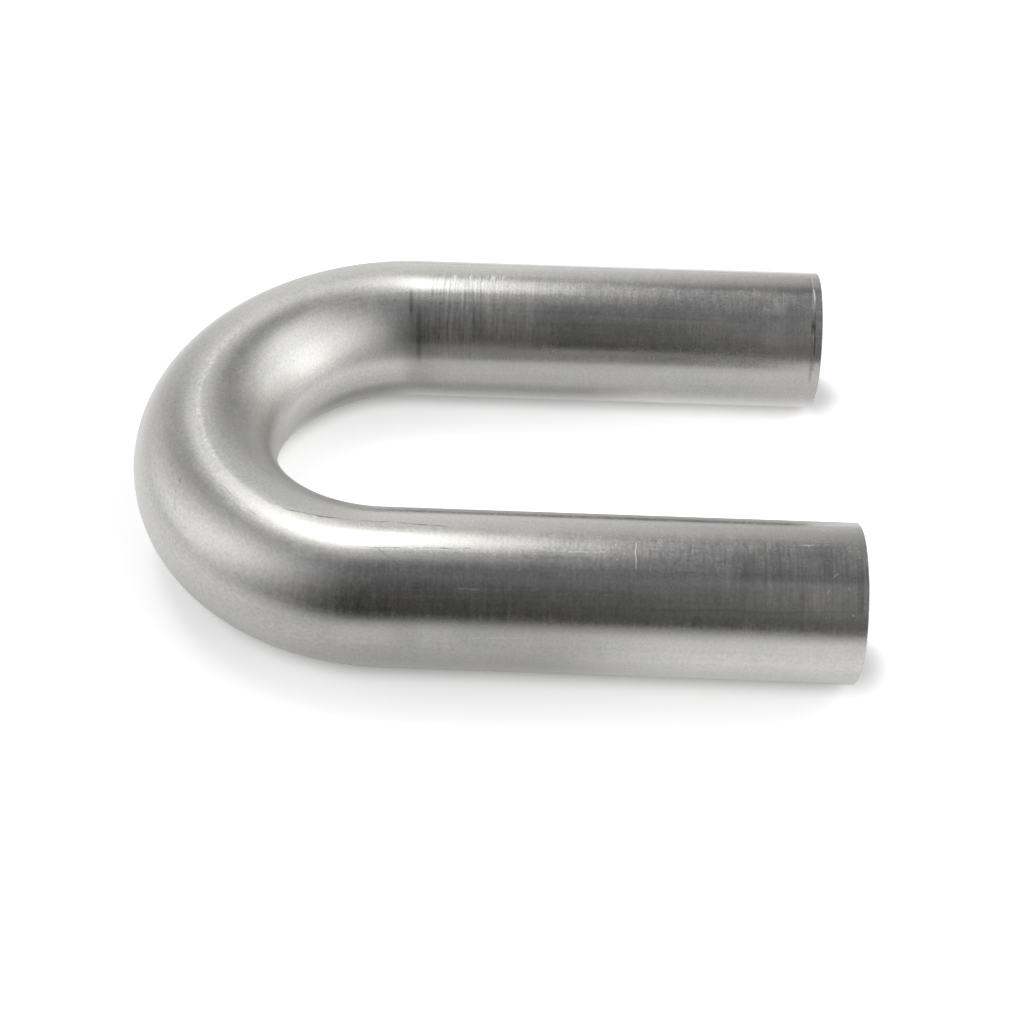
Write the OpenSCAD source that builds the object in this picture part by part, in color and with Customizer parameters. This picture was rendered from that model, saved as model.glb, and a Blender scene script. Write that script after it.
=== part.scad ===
// Return bend: one length of thin-walled round steel tube, drawn over a mandrel through a half turn,
// so that its two plain legs lie side by side and point the same way.
// It lies flat with its underside on Z = 0, the legs along +X and the bend towards -X.
// The origin is under the middle of its overall length and width.

/* [Tube] */
// Outside diameter of the tube
tube_od = 63.5; // [30:0.1:110]
// Wall thickness of the straight tube
wall = 1.65; // [1:0.05:4]
// Length of each straight leg, from where the bend begins to the saw-cut end
leg_length = 186; // [40:0.5:600]
// Small bevel left by deburring, inside and outside each saw-cut end
edge_break = 0.25; // [0.05:0.05:0.4]

/* [Bend] */
// Radius from the middle of the bend to the middle of each leg
bend_radius = 88.9; // [70:0.1:300]
// Width that the section loses at the middle of the bend, where the tube is drawn oval
oval_loss = 2.9; // [0:0.1:5]
// Wall that is lost on the outside of the bend, where the tube is stretched
stretch_loss = 0.3; // [0:0.05:0.5]

/* [Hidden] */
$fn = 128;

tube_r = tube_od / 2;
bore_r = tube_r - wall;
// The half ring is drawn in along X alone. It stays round where it meets the legs,
// and turns slowly oval towards the middle of the bend, still tangent to them.
skin_draw = (tube_od - oval_loss) / tube_od;
bend_depth = skin_draw * (bend_radius + tube_r);
bore_draw = (bend_depth - (wall - stretch_loss)) / (bend_radius + bore_r);
bend_x = (bend_depth - leg_length) / 2;

// Half ring of round rod, with its ends on the plane X = 0, drawn in along X
module half_turn(r, draw) {
    scale([draw, 1, 1])
        rotate([0, 0, 90])
            rotate_extrude(angle = 180)
                translate([bend_radius, 0])
                    circle(r);
}

// Straight rod from the plane X = 0 to the saw cut, narrowed or widened there to end_r,
// and carried past the cut by a little where it is to be taken away
module straight(r, end_r, past) {
    rotate([0, 90, 0])
        rotate_extrude()
            polygon([
                [0, 0], [r, 0],
                [r, leg_length - edge_break], [end_r, leg_length],
                if (past > 0) [end_r, leg_length + past],
                [0, leg_length + past]
            ]);
}

// The whole U as solid rod: the half turn with a straight leg on each end
module u_rod(r, draw, end_r, past = 0) {
    half_turn(r, draw);
    for (side = [-1, 1])
        translate([0, side * bend_radius, 0])
            straight(r, end_r, past);
}

module return_bend() {
    color("#b9b8b4")
        translate([bend_x, 0, tube_r])
            difference() {
                u_rod(tube_r, skin_draw, tube_r - edge_break);
                u_rod(bore_r, bore_draw, bore_r + edge_break, past = wall);
            }
}

return_bend();
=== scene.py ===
import math

import bpy
import numpy as np
from mathutils import Matrix, Vector


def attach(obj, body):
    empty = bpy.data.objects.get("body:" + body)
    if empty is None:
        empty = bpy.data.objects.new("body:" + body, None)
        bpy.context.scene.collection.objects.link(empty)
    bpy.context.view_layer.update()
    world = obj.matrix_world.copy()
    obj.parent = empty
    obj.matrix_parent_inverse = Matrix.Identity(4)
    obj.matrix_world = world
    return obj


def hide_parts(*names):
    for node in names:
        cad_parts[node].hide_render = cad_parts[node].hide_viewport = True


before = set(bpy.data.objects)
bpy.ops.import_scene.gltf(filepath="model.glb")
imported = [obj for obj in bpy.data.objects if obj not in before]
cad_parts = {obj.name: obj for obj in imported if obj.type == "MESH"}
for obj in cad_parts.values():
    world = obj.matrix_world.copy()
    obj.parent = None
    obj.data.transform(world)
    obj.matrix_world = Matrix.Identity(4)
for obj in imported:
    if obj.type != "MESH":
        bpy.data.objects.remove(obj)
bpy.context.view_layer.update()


# The return bend is one length of thin-walled steel tube, ground to a satin finish at the mill.
# A mandrel bender has pulled it round a former through a half turn, so the outside of the bend is
# stretched thin and its section is a little oval. Both legs are sawn square and deburred by hand.
MM = 0.001
TUBE_R = 31.75
BORE_R = 30.1
LEG = 186.0
BEND_R = 88.9
OVAL_WIDTH = 60.6
STRETCHED_WALL = 1.35
SKIN_DRAW = OVAL_WIDTH / (2 * TUBE_R)
BEND_DEPTH = SKIN_DRAW * (BEND_R + TUBE_R)
BORE_DRAW = (BEND_DEPTH - STRETCHED_WALL) / (BEND_R + BORE_R)
BEND_X = (BEND_DEPTH - LEG) / 2
EDGE_BREAK = 0.25
SEGMENTS = 240

# Length along the middle of the bend, and the turn that each length comes to
half_turn = np.linspace(0, math.pi, 721)
turn_steps = np.hypot(
    np.diff(SKIN_DRAW * BEND_R * np.sin(half_turn)), np.diff(BEND_R * np.cos(half_turn))
)
turn_run = np.concatenate([[0], np.cumsum(turn_steps)])
BEND_RUN = turn_run[-1]
BEND_END = LEG + BEND_RUN
FULL_RUN = BEND_END + LEG
round_deg = np.arange(SEGMENTS) * 360 / SEGMENTS - 180


def tube_ring(along, reach, draw):
    """One ring of the tube, in mm: along it from the far end, reach from its axis. It starts underneath."""
    a = np.radians(round_deg)
    across, height = BEND_R + reach * np.sin(a), TUBE_R + reach * np.cos(a)
    if along <= LEG:
        return np.stack([BEND_X + LEG - along + 0 * a, across, height], -1)
    if along >= BEND_END:
        return np.stack([BEND_X + along - BEND_END + 0 * a, -across, height], -1)
    turn = np.interp(along - LEG, turn_run, half_turn)
    return np.stack([BEND_X - draw * across * math.sin(turn), across * math.cos(turn), height], -1)


def ring_stops(leg_step, bend_step, extra):
    """Places along the tube for its rings, closer together in the bend."""
    leg = np.arange(leg_step, LEG - 1, leg_step)
    bend = np.linspace(LEG, BEND_END, round(BEND_RUN / bend_step) + 1)
    return np.unique(np.round(np.concatenate([leg, bend, FULL_RUN - leg, extra]), 3))


def hump(x, middle, width):
    """1 at the middle, falling away in a bell of that width."""
    return np.exp(-(((x - middle) / width) ** 2))


# Where the former and the pressure die meet, they leave a fine ridge near the crown of the bend
PARTING_LINE = [
    (283, -3.5), (311, -3.3), (334, -1.5), (352, -3.2), (378, -1.8), (405, -0.4),
    (418, 1.3), (433, -3.0), (450, -5.3), (464, -6.0), (485, -3.0),
]
CLAMP_EDGES = (184.0, 188.4)
SCORE_AT = 4.0
RIDGE, CLAMP_DENT, SCORE_DEPTH = 0.045, 0.03, 0.06


def die_marks(along):
    """How far the skin stands in or out round one ring, in mm, from the bender's tools and the saw."""
    line = np.interp(along, *zip(*PARTING_LINE))
    strength = np.clip((along - 283) / 25, 0, 1) * np.clip((485 - along) / 30, 0, 1)
    marks = RIDGE * strength * hump(round_deg, line, 2.4)
    grip = 1 / (1 + np.exp((round_deg + 26) / 4)) / (1 + np.exp(-(round_deg + 104) / 8))
    for edge in CLAMP_EDGES:
        marks = marks - CLAMP_DENT * hump(along, edge, 0.9) * grip
    score = SCORE_AT + 0.25 * np.cos(np.radians(round_deg * 2))
    return marks - SCORE_DEPTH * hump(along, score, 0.4)


rng = np.random.default_rng(7)


def saw_cut():
    """Low waves and small burrs round one hand-deburred saw cut, in mm."""
    waves = 0 * round_deg
    for k in (3, 7, 13, 22, 37):
        waves += rng.normal(0, 0.05 / k**0.5) * np.cos(np.radians(k * round_deg) + rng.uniform(0, 6.3))
    burrs = 0 * round_deg
    for _ in range(11):
        away = (round_deg - rng.uniform(-180, 180) + 180) % 360 - 180
        burrs += rng.uniform(0.08, 0.25) * hump(away, 0, rng.uniform(1.2, 3))
    return waves, burrs * np.clip((172 - abs(round_deg)) / 20, 0, 1)


rings, alongs = [], []


def lay_ring(along, reach, draw, shift=0.0):
    """Adds the next ring of the skin, which goes along the outside, over a rim and back along the bore."""
    ring = tube_ring(along, reach, draw)
    ring[:, 0] += shift
    rings.append(ring)
    alongs.append(along)


fine_ends = np.array([0.4, 0.7, 1.2, 2.0, 2.8])
near_score = SCORE_AT + np.linspace(-0.8, 0.8, 11)
near_clamp = np.concatenate([edge + np.linspace(-2.0, 2.0, 9) for edge in CLAMP_EDGES])
skin_extra = np.concatenate([fine_ends, FULL_RUN - fine_ends, near_score, near_clamp])
bore_extra = np.concatenate([fine_ends[:3], FULL_RUN - fine_ends[:3]])
skin_stops = ring_stops(5.0, 2.6, skin_extra)
bore_stops = ring_stops(18.0, 5.6, bore_extra)
far_wave, far_burr = saw_cut()
near_wave, near_burr = saw_cut()
lay_ring(EDGE_BREAK, TUBE_R + 0.4 * far_burr, SKIN_DRAW)
for stop in skin_stops:
    lay_ring(stop, TUBE_R + die_marks(stop), SKIN_DRAW)
lay_ring(FULL_RUN - EDGE_BREAK, TUBE_R + 0.4 * near_burr, SKIN_DRAW)
lay_ring(FULL_RUN, TUBE_R - EDGE_BREAK + 0.5 * near_burr, SKIN_DRAW, near_wave)
lay_ring(FULL_RUN, BORE_R + EDGE_BREAK, BORE_DRAW, near_wave)
lay_ring(FULL_RUN - EDGE_BREAK, BORE_R, BORE_DRAW)
for stop in bore_stops[::-1]:
    lay_ring(stop, BORE_R, BORE_DRAW)
lay_ring(EDGE_BREAK, BORE_R, BORE_DRAW)
lay_ring(0, BORE_R + EDGE_BREAK, BORE_DRAW, -far_wave)
lay_ring(0, TUBE_R - EDGE_BREAK + 0.5 * far_burr, SKIN_DRAW, -far_wave)

ring_count = len(rings)
ring_at, seg_at = np.meshgrid(np.arange(ring_count), np.arange(SEGMENTS), indexing="ij")
next_ring, next_seg = (ring_at + 1) % ring_count, (seg_at + 1) % SEGMENTS
corner_rings = np.stack([ring_at, ring_at, next_ring, next_ring], -1)
corner_segs = np.stack([seg_at, next_seg, next_seg, seg_at], -1)
tube_mesh = bpy.data.meshes.new("return_bend_skin")
quads = (corner_rings * SEGMENTS + corner_segs).reshape(-1, 4)
tube_mesh.from_pydata((np.concatenate(rings) * MM).tolist(), [], quads.tolist())
tube_mesh.shade_smooth()

# The lay of the tube: millimetres along from the far end, degrees round from the crown,
# with two turns added in the bore so that no mark of the outside shows there
BORE_LAY = 720
skin_end = len(skin_stops) + 1
bore_start, bore_end = skin_end + 3, ring_count - 3
lay = tube_mesh.uv_layers.new(name="lay")
deg_step = 360 / SEGMENTS
corner_along = np.array(alongs)[corner_rings]
corner_round = round_deg[seg_at][..., None] + np.array([0, deg_step, deg_step, 0])
corner_round[bore_start:bore_end] += BORE_LAY
lay.data.foreach_set("uv", np.stack([corner_along, corner_round], -1).astype(np.float32).ravel())

# The same skin cut and laid flat on one square sheet, for baking: the outside in three lengths,
# the bore in two at half size, and the two rims at eight times their width
SHEET = 440.0
CUTS_AT = (215, 430)
BORE_SIZE, RIM_SIZE = (0.5, 0.47), (8.0, 0.95)
TURN = 2 * math.pi * TUBE_R / SEGMENTS
ring_gaps = np.linalg.norm(np.roll(rings, -1, 0) - np.array(rings), axis=-1).mean(1)
corner_flat = np.zeros((ring_count, SEGMENTS, 4, 2))


def lay_flat(first, last, left, foot, run_size=1.0, turn_size=1.0):
    """Lays the skin from one ring to another on the sheet, with its corner at left and foot in mm."""
    runs = left + run_size * np.concatenate([[0], np.cumsum(ring_gaps[first:last])])
    turns = foot + turn_size * TURN * np.arange(SEGMENTS + 1)
    start, low = np.meshgrid(runs[:-1], turns[:-1], indexing="ij")
    end, high = np.meshgrid(runs[1:], turns[1:], indexing="ij")
    corner_flat[first:last, ..., 0] = np.stack([start, start, end, end], -1)
    corner_flat[first:last, ..., 1] = np.stack([low, high, high, low], -1)


first_cut, second_cut = np.searchsorted(skin_stops, CUTS_AT)
bore_cut = (bore_start + bore_end) // 2
lay_flat(0, first_cut, 2, 2)
lay_flat(first_cut, second_cut, 221, 2)
lay_flat(second_cut, skin_end, 2, 205)
lay_flat(bore_start, bore_cut, 222, 206, *BORE_SIZE)
lay_flat(bore_cut, bore_end, 222, 304, *BORE_SIZE)
lay_flat(skin_end, bore_start, 394, 206, *RIM_SIZE)
lay_flat(bore_end, ring_count, 416, 206, *RIM_SIZE)
flat = tube_mesh.uv_layers.new(name="OFBake")
flat.data.foreach_set("uv", (corner_flat / SHEET).astype(np.float32).ravel())
tube = bpy.data.objects.new("return_bend_tube", tube_mesh)
bpy.context.scene.collection.objects.link(tube)


class Wire:
    """A socket of a shader. Arithmetic on it adds Math nodes, and node() adds any other kind."""

    def __init__(self, tree, socket=None):
        self.tree, self.socket = tree, socket

    def node(self, kind, settings=None, sockets=None, out=0):
        made = self.tree.nodes.new(kind)
        for name, value in (settings or {}).items():
            setattr(made, name, value)
        for name, value in (sockets or {}).items():
            if isinstance(value, Wire):
                self.tree.links.new(value.socket, made.inputs[name])
            else:
                made.inputs[name].default_value = value
        return Wire(self.tree, made.outputs[out] if made.outputs else None)

    def also(self, out):
        """Another output of the same node."""
        return Wire(self.tree, self.socket.node.outputs[out])

    def math(self, operation, *values):
        return self.node("ShaderNodeMath", {"operation": operation}, dict(enumerate(values)))

    def vector(self, operation, *values, out=0):
        return self.node("ShaderNodeVectorMath", {"operation": operation}, dict(enumerate(values)), out)

    def rise(self, low, high):
        """0 below low, 1 above high, and a smooth step between. It falls where low is above high."""
        sockets = {"Value": self, "From Min": low, "From Max": high}
        return self.node("ShaderNodeMapRange", {"interpolation_type": "SMOOTHSTEP"}, sockets)

    def inside(self, low, high, soft):
        """1 from low to high, and a smooth fall to 0 over the soft edges outside."""
        return self.rise(low - soft, low) * self.rise(high + soft, high)

    def __add__(self, other): return self.math("ADD", self, other)
    def __sub__(self, other): return self.math("SUBTRACT", self, other)
    def __mul__(self, other): return self.math("MULTIPLY", self, other)
    def __rsub__(self, other): return self.math("SUBTRACT", other, self)
    __radd__, __rmul__ = __add__, __mul__


# The finish is bare ground steel: fine grinding rings, faint draw streaks, handling scratches
# and a little grime
steel = bpy.data.materials.new("ground_steel")
steel.use_nodes = True
steel.node_tree.nodes.clear()
grain = Wire(steel.node_tree)
along = grain.node("ShaderNodeSeparateXYZ", None, {0: grain.node("ShaderNodeUVMap", {"uv_map": "lay"})})
round_ = along.also(1)
DEG_MM = math.radians(TUBE_R)
turn_rad = round_ * math.radians(1)
straight_at = grain.node("ShaderNodeCombineXYZ", None, {
    0: along,
    1: grain.math("SINE", turn_rad) * TUBE_R,
    2: grain.math("COSINE", turn_rad) * TUBE_R,
})


def flow(size_along, size_round, detail=2.0, seed=0.0):
    """Noise about 0, in patches of that size in mm along and round the tube."""
    scale = (1 / size_along, 1 / size_round, 1 / size_round)
    place = grain.vector("MULTIPLY_ADD", straight_at, scale, (seed, seed, seed))
    return grain.node("ShaderNodeTexNoise", None, {"Vector": place, "Scale": 1.0, "Detail": detail}) - 0.5


# A hand doesn't scratch a straight line, so the marks are placed on a slightly wavering lay
waver = flow(5, 5, 3, 11.3)
flat_at = grain.node("ShaderNodeCombineXYZ", None, {
    0: along + waver * 1.6, 1: round_ * DEG_MM + waver * 1.2,
})


def stroke(width, *path):
    """1 on a thin line through the path's points (mm along, degrees round), 0 beyond its width in mm."""
    mark = None
    for start, end in zip(path, path[1:]):
        first = Vector((start[0], start[1] * DEG_MM, 0))
        run = Vector((end[0], end[1] * DEG_MM, 0)) - first
        off = grain.vector("SUBTRACT", flat_at, first)
        share = grain.vector("DOT_PRODUCT", off, run / run.length_squared, out=1)
        foot = grain.node("ShaderNodeVectorMath", {"operation": "SCALE"}, {
            0: run, "Scale": share.math("MINIMUM", share.math("MAXIMUM", share, 0.0), 1.0),
        })
        line = grain.vector("DISTANCE", off, foot, out=1).rise(width, width * 0.3)
        mark = line if mark is None else mark.math("MAXIMUM", mark, line)
    return mark


def mixed(share, under, over):
    """A colour between two, by share."""
    return grain.node("ShaderNodeMix", {"data_type": "RGBA"}, {0: share, 6: under, 7: over}, out=2)


# The grain of the finish, from broad patches to single specks
clouds = flow(26, 15, 2, 3.1)
smudge = flow(6, 6, 2, 8.7)
streaks = flow(70, 1.6, 1, 5.2)
fine_rings = flow(1.1, 22, 0, 2.4)
broad_rings = flow(3.4, 34, 1, 9.6)
ticks = flow(1.2, 6, 0, 4.9)
specks = flow(1.1, 1.1, 0, 6.6)

# The clamp has bitten fine rings into the far leg beside the bend, and handling has ringed the near end
bitten = (
    along.inside(158, 177, 8) * round_.inside(-70, -16, 20) * 0.7
    + along.inside(136, 165, 26) * round_.inside(-62, -8, 20) * 0.5
)
handled = along.inside(606, 632, 30) * round_.inside(18, 42, 20)
ringed = bitten + handled * 0.5
clamp_dark = (
    along.inside(188.0, 188.6, 1.3) * round_.inside(-40, -26, 9) * 0.6
    + along.inside(183.6, 184.3, 1.3) * round_.inside(-76, -46, 14) * 0.55
    + along.inside(183, 187, 10) * round_.inside(-96, -40, 26) * 0.3
)
end_band = along.rise(3.9, 3.5) * round_.inside(-32, -6, 6)
score_dark = along.inside(3.9, 4.5, 0.8) * round_.inside(-88, -36, 8) * (smudge * 2 + 0.65)
near_band = along.inside(640.6, 642.4, 0.6) * round_.inside(16, 48, 8)
former_side = round_.rise(-0.6, -4.4) * round_.rise(-80, -45) * along.inside(296, 440, 26)

# Scratches, with painted shade where they lie in shade and a painted highlight where an edge catches the
# lamps
parting = stroke(1.5, *[(s, a + 1.5) for s, a in PARTING_LINE if s < 380])
parting_dark = stroke(0.5, *[(s, a) for s, a in PARTING_LINE if s > 400])
dark_lines = (
    parting_dark * along.rise(400, 430) * (smudge * 4 + 0.5)
    + stroke(0.3, (379, 12), (394, 11), (412, 15), (428, 17)) * (smudge * 3 + 0.35)
    + stroke(0.32, (450, 18.4), (472, 17.6), (495, 16.4)) * (smudge * 3 + 0.4)
    + stroke(0.32, (459.8, 18.6), (467.9, 30.6)) * 0.35
    + stroke(0.35, (262, -22.7), (257.7, -32.8)) * 0.4
    + stroke(0.45, (377, 37), (380, 43), (383, 48.5)) * (smudge * 3 + 0.25)
    + stroke(0.7, (560, 56), (592, 53.4), (607, 54.4), (629, 52.3), (643, 51.4)) * 0.22
    # A painted dark reflection along the far leg, where the edge of the ceiling shows in it
    + stroke(0.8, (162, -37.2), (120, -38.6), (80, -40), (34, -42)) * along.rise(165, 120) * 0.2
    + stroke(0.8, (375.6, 31), (376.3, 31.8)) * 0.6
)
broken = (ticks * 6 + 0.55).rise(0.0, 1.0)
light_lines = (
    parting * (specks * 1.2 + 0.2)
    + stroke(0.35, (31.1, -8.4), (31.4, -21.6)) * broken * 0.3
    + stroke(0.4, (31.4, -20), (31.2, -22.4), (28.7, -27.2), (24.6, -31.5)) * broken * 0.7
    + stroke(0.35, (24, -15.9), (23.2, -30.5)) * broken * 0.3
    + stroke(0.4, (3.3, -6), (3.4, -26)) * broken
    + stroke(0.36, (327.6, -3), (320.3, -31)) * broken * 0.3
    + stroke(0.4, (333.3, -2.3), (324.2, -37)) * broken * 0.35
    + stroke(0.36, (337.5, -6), (332.1, -34)) * broken * 0.25
    + stroke(0.36, (362.8, -6.6), (364.1, -30.5)) * broken * 0.35
    + stroke(0.36, (550.3, 4), (550.3, 21)) * broken * 0.7
    + stroke(0.4, (557.5, 7), (557.5, 27)) * broken * 0.7
    + stroke(0.4, (532, 16.4), (546, 15.5)) * 0.3
    + stroke(0.4, (617.7, 3.8), (632, 2.6)) * (smudge * 3 + 0.3)
    + stroke(
        0.4, (633, 26), (630.4, 30), (630, 37), (628.9, 41), (629.4, 47.5), (628.9, 56.5)
    ) * broken * 0.8
    + stroke(0.6, (638.8, 53.6), (638.9, 54.2))
    + stroke(0.4, (637.1, 36), (637.5, 37)) * 0.7
    + stroke(0.35, (467.8, 72.6), (471, 75), (473.4, 80)) * 0.25
    + stroke(0.4, (470, 46), (520, 44.5)) * (smudge * 2 + 0.15)
    + stroke(0.4, (493, 81), (517, 79.2)) * (smudge * 2 + 0.2)
    + stroke(0.4, (612, 79), (643, 76.6)) * (smudge * 2 + 0.25)
    # Painted glints along the top of the far leg's highlight and on the light band of the bend
    + (ticks * 9).rise(0.9, 1.8) * along.inside(142, 170, 6) * round_.inside(-12, -5, 4) * 0.8
    + (specks * 9).rise(1.2, 2.0) * along.inside(400, 420, 6) * round_.inside(8, 17, 4) * 0.7
)
# Hands, racks and the bender's tools have left the finish uneven: paler or duller, foggy or crisp. Some of
# the paler and darker places below are painted light and shade instead, as marked.
pale_rubs = (fine_rings + smudge + 0.6) * (
    along.inside(19, 21, 4) * round_.inside(-31, -24, 9) * 0.24
    + along.inside(19.5, 24, 5) * round_.inside(-58, -46, 10) * 0.16
)
# The near leg's inner top edge: rougher, and painted lighter as a highlight over its dark reflection
inner_edge = along.inside(455, 625, 25) * round_.inside(-60, -31, 9)
# Pale patches in the finish. Those on the inside of the bend and along the near leg's inner top edge are
# painted highlight, and the one low on the front of the near leg towards its end is partly painted light
pale_patches_and_painted_light = (
    along.inside(454, 462, 9) * round_.inside(76, 86, 10)
    + along.inside(480, 486, 8) * round_.inside(72, 82, 12)
    + along.inside(536, 545, 9) * round_.inside(16, 32, 12)
    + along.inside(76, 112, 20) * round_.inside(-24, -18, 7) * 0.3
    + along.inside(50, 64, 10) * round_.inside(-22, -17, 6) * 0.5
    + along.inside(560, 643, 40) * round_.inside(98, 130, 16) * 1.2
    + along.inside(204, 290, 22) * round_.inside(-103, -86, 7) * 1.5
    + along.inside(266, 300, 30) * round_.inside(-66, -54, 14) * 1.5
    + along.inside(340, 440, 30) * round_.inside(-66, -38, 14) * 0.9
    + inner_edge * 2.2
)
# Painted shade low on the inner side of the far leg and the bend, and a dull patch near the near end
painted_shade_and_dull_patch = (
    along.inside(115, 240, 45) * round_.inside(-150, -115, 14) * 1.7
    + along.inside(602, 636, 16) * round_.inside(14, 28, 8)
)
rust = along.inside(3.8, 5.0, 1.0) * round_.inside(-47, -41, 7) * (smudge * 3 + 0.8)
# Darker low on the front of the near leg, beside the bend
darker_low_front = along.inside(452, 520, 46) * round_.inside(70, 126, 18)
drawn = along.inside(214, 430, 34)
squeezed = drawn * round_.rise(-28, -64)
# Painted highlight on the inside of the bend
painted_inner_bend_highlight = along.inside(214, 300, 40) * round_.rise(-5, -50) * round_.rise(-108, -80)
foggy = (
    along.inside(142, 182, 30) * round_.inside(-72, -38, 14)
    + along.inside(10, 50, 20) * round_.inside(-72, -30, 14) * 0.4
)
crisp = along.inside(-20, 140, 30) * round_.inside(-6, 60, 8)
bore = round_.rise(BORE_LAY / 2, BORE_LAY / 2 + 10)

# Shades of the steel about its own colour, and the painted light and shade marked above
tone = clouds * 0.12 + smudge * 0.09 + streaks * 0.1 + ticks * 0.06 + specks * (drawn * 0.14 + 0.19) + 1
tone = tone + fine_rings * (ringed * 0.3 + 0.03) + broad_rings * (handled * 0.4 + 0.05)
tone = tone * (1 - clamp_dark * 0.5) * (1 - score_dark * 0.5) * (1 - dark_lines * 0.5)
tone = tone * (1 - darker_low_front * 0.1) * (1 - former_side * 0.07) * (1 - near_band * 0.2)
tone = tone * (1 + painted_inner_bend_highlight * 0.35) * (1 + bore * 0.25) * (1 + end_band * 0.12)
tone = tone * (1 + pale_patches_and_painted_light * 0.1) * (1 - painted_shade_and_dull_patch * 0.2)
tinge = mixed((clouds + streaks) * 1.6 + 0.5, (0.455, 0.455, 0.441, 1), (0.469, 0.455, 0.431, 1))
steel_colour = grain.node("ShaderNodeVectorMath", {"operation": "SCALE"}, {0: tinge, "Scale": tone})
steel_colour = mixed(light_lines * 0.5 + pale_rubs, steel_colour, (0.78, 0.77, 0.75, 1))
steel_colour = mixed(rust * 0.7, steel_colour, (0.085, 0.058, 0.036, 1))

# How rough it is
gloss = clouds * 0.07 + smudge * 0.06 + streaks * 0.05 + ticks * 0.07 + specks * 0.05 + 0.245
gloss = gloss + drawn * 0.1 + squeezed * 0.08 + foggy * 0.09 + inner_edge * 0.22 - crisp * 0.045
gloss = gloss + bore * 0.3 + fine_rings * (ringed * 0.14 + 0.03)
gloss = gloss + pale_rubs * 0.3 + light_lines * 0.15 + rust * 0.3
# What stands out of it, in mm
relief = (
    fine_rings * (ringed * 0.014 + 0.003)
    + broad_rings * (handled * 0.012 + 0.004)
    + streaks * 0.006
    + smudge * 0.008
    + specks * 0.0025
)
bumped = grain.node("ShaderNodeBump", None, {"Strength": 1.0, "Distance": MM, "Height": relief})
metal = grain.node("ShaderNodeBsdfPrincipled", None, {
    "Base Color": steel_colour,
    "Metallic": 1.0,
    "Roughness": gloss,
    "Normal": bumped,
})
grain.node("ShaderNodeOutputMaterial", None, {"Surface": metal})
tube_mesh.materials.append(steel)
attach(tube, "root")
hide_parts("return_bend")


# The floor is a broad sheet of matt white paper that the bend lies on, without a seam.
# It holds the soft shadow under the tube and shows white to the eye. The metal sees it white
# as well, but dimmer beyond a painted pool of light.
paper = bpy.data.materials.new("white_paper")
paper.use_nodes = True
paper.node_tree.nodes.clear()
sheet = Wire(paper.node_tree)
rays = sheet.node("ShaderNodeLightPath")
seen = rays + rays.also("Is Glossy Ray") + rays.also("Is Transmission Ray")
spot = sheet.node("ShaderNodeNewGeometry")
# A painted pool of light, which only the metal sees: to the eye the paper stays full white
POOL_MIDDLE, POOL_EDGE, POOL_FULL = (0.2, 0.3, 0), 1.15, 0.4
pool = sheet.vector("DISTANCE", spot, POOL_MIDDLE, out=1).rise(POOL_EDGE, POOL_FULL) * 0.55 + 0.45
pool = pool.math("MAXIMUM", pool, rays)
# Painted shade and light in the paper's glow: weaker in the narrow space beside and under the tube, a
# little stronger between the legs and towards the right, and weaker out at the left past the bend
across = sheet.node("ShaderNodeSeparateXYZ", None, {0: spot})
ahead = across - BEND_X * MM
bowed = sheet.node("ShaderNodeCombineXYZ", None, {
    0: ahead.math("MINIMUM", ahead, 0.0) * (1 / SKIN_DRAW), 1: across.also(1),
})
beside = sheet.vector("LENGTH", bowed, out=1) - BEND_R * MM
past = ahead.math("MAXIMUM", ahead - LEG * MM, 0.0)
from_tube = sheet.vector("LENGTH", sheet.node("ShaderNodeCombineXYZ", None, {0: beside, 1: past}), out=1)
fill = (
    from_tube.rise(0.008, 0.024) * 0.37
    + beside.rise(0.0, -0.02) * 0.11
    + across.rise(-0.2, 0.2) * 0.1
    - across.rise(-0.06, -0.14) * 0.07
    + 0.02
)
# Painted light and shade on the floor that only the metal sees: brighter on the open floor and more so out
# past the bend, a painted shadow spot, darker towards the front edge, and painted bounce light beside the
# far leg
in_metal = 1 - rays
PAINTED_SHADOW_AT = (-0.005, -0.15, 0)
painted_shadow_spot = sheet.vector("DISTANCE", spot, PAINTED_SHADOW_AT, out=1).rise(0.105, 0.035)
front_edge = (across.also(1) + across.math("ABSOLUTE", across) * 0.5).rise(-0.3, -0.13)
open_floor = beside.rise(0.005, 0.05) * front_edge * (1 - painted_shadow_spot * 0.75)
bounced = beside.rise(0.0, -0.01) * from_tube.rise(0.04, 0.014) * across.also(1).rise(0.0, 0.04)
fill = fill + open_floor * in_metal * (ahead.rise(-0.09, -0.16) * 0.26 + 0.34) + bounced * in_metal * 0.4
whiteness = (rays * 0.54 + 0.46) * pool
matt = sheet.node("ShaderNodeBsdfDiffuse", None, {
    "Color": sheet.node("ShaderNodeCombineColor", None, {0: whiteness, 1: whiteness, 2: whiteness}),
})
glow = sheet.node("ShaderNodeEmission", None, {"Color": (1, 1, 1, 1), "Strength": seen * pool * fill})
both = sheet.node("ShaderNodeAddShader", None, {0: matt, 1: glow})
sheet.node("ShaderNodeOutputMaterial", None, {"Surface": both})
floor_mesh = bpy.data.meshes.new("floor")
REACH = 30
corners = [(-REACH, -REACH, 0), (REACH, -REACH, 0), (REACH, REACH, 0), (-REACH, REACH, 0)]
floor_mesh.from_pydata(corners, [], [(0, 1, 2, 3)])
floor_mesh.materials.append(paper)
floor = bpy.data.objects.new("floor", floor_mesh)
bpy.context.scene.collection.objects.link(floor)


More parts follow.
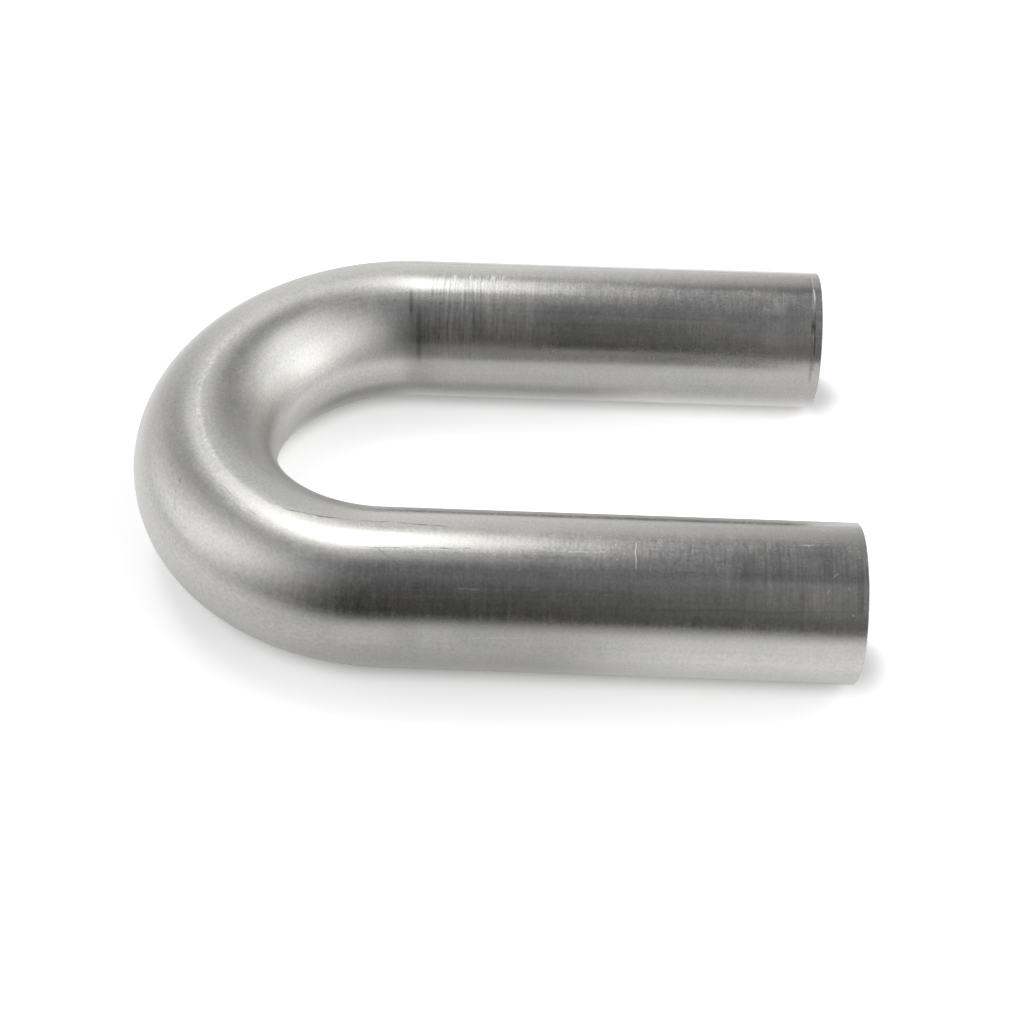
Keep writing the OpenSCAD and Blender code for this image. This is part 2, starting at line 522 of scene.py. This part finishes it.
# The light is soft, as from large diffused lamps and windows in a room that is dark behind the camera.
# Each is a round glow in the world: its bearing from straight back, height, tightness and strength.
room = bpy.data.worlds.new("studio")
bpy.context.scene.world = room
room.use_nodes = True
room.node_tree.nodes.clear()
sky = Wire(room.node_tree)
look = sky.node("ShaderNodeTexCoord")
LAMPS = {
    "overhead softbox": (-20.5, 54.8, 105, 5.1),
    "its upper edge": (-35, 66.3, 112, 7.6),
    "lamp over the bend": (-90, 80.4, 120, 0.95),
    "left window": (-107, 33.3, 11.9, 1.43),
    "left window sill": (-81, -12, 4.9, 1.95),
    "right window": (119.7, 22.9, 6.5, 1.52),
    "right window top": (66, 50.6, 21.3, 1.22),
    "right window sill": (97.4, -2, 30, 2.4),
    "door on the right": (62.8, 14.4, 9.7, 1.26),
}
BACK_WALL = {
    "foot of the wall": (-9.5, -8, 6.9, 1.35),
    "white wall": (-11.5, 33.5, 15.7, 0.88),
}
CEILING = 0.11


def glows(lamps):
    """The light of round glows in the world, added up."""
    level = 0.0
    for bearing, height, tightness, strength in lamps.values():
        b, h = math.radians(bearing), math.radians(height)
        aim = (math.sin(b) * math.cos(h), math.cos(b) * math.cos(h), math.sin(h))
        facing = sky.vector("DOT_PRODUCT", look, aim, out=1)
        level = sky.math("EXPONENT", (facing - 1) * tightness) * strength + level
    return level


# The wall behind ends at the ceiling, which is dim and cool and ends over the camera
toward = sky.node("ShaderNodeSeparateXYZ", None, {0: look})
tilt = sky.math("ARCTAN2", toward.also(2), toward.also(1)) * math.degrees(1)
WALL_FADE, CEILING_FADE = (53.3, 45.3), (131, 121)
wall_share = tilt.rise(*WALL_FADE)
ceiling_share = (1 - wall_share) * tilt.rise(*CEILING_FADE)
lamp_light = sky.node("ShaderNodeBackground", None, {
    "Color": (1, 1, 1, 1), "Strength": glows(LAMPS) + glows(BACK_WALL) * wall_share,
})
ceiling_light = sky.node("ShaderNodeBackground", None, {
    "Color": (0.95, 0.975, 1.1, 1), "Strength": ceiling_share * CEILING,
})
sky.node("ShaderNodeOutputWorld", None, {
    "Surface": sky.node("ShaderNodeAddShader", None, {0: lamp_light, 1: ceiling_light}),
})


# The camera stands in front of the near leg and above it, as the photograph was taken.
lens = bpy.data.cameras.new("camera")
lens.sensor_fit = "HORIZONTAL"
lens.sensor_width = 36.0
lens.lens = 57.67
camera = bpy.data.objects.new("camera", lens)
bpy.context.scene.collection.objects.link(camera)
bpy.context.scene.camera = camera
BEARING, RISE, ROLL = math.radians(2.193), math.radians(41.326), math.radians(0.510)
STAND_OFF = 0.68315
aim_point = Vector((13.94, -41.54, 31.75)) * MM
back = Vector((math.sin(BEARING) * math.cos(RISE), -math.cos(BEARING) * math.cos(RISE), math.sin(RISE)))
right = (-back).cross(Vector((0, 0, 1))).normalized()
up = right.cross(-back)
rolled_right = math.cos(ROLL) * right + math.sin(ROLL) * up
rolled_up = math.cos(ROLL) * up - math.sin(ROLL) * right
turned = Matrix((rolled_right, rolled_up, back)).transposed().to_4x4()
camera.matrix_world = Matrix.Translation(aim_point + STAND_OFF * back) @ turned

bpy.context.scene.view_settings.view_transform = "Standard"
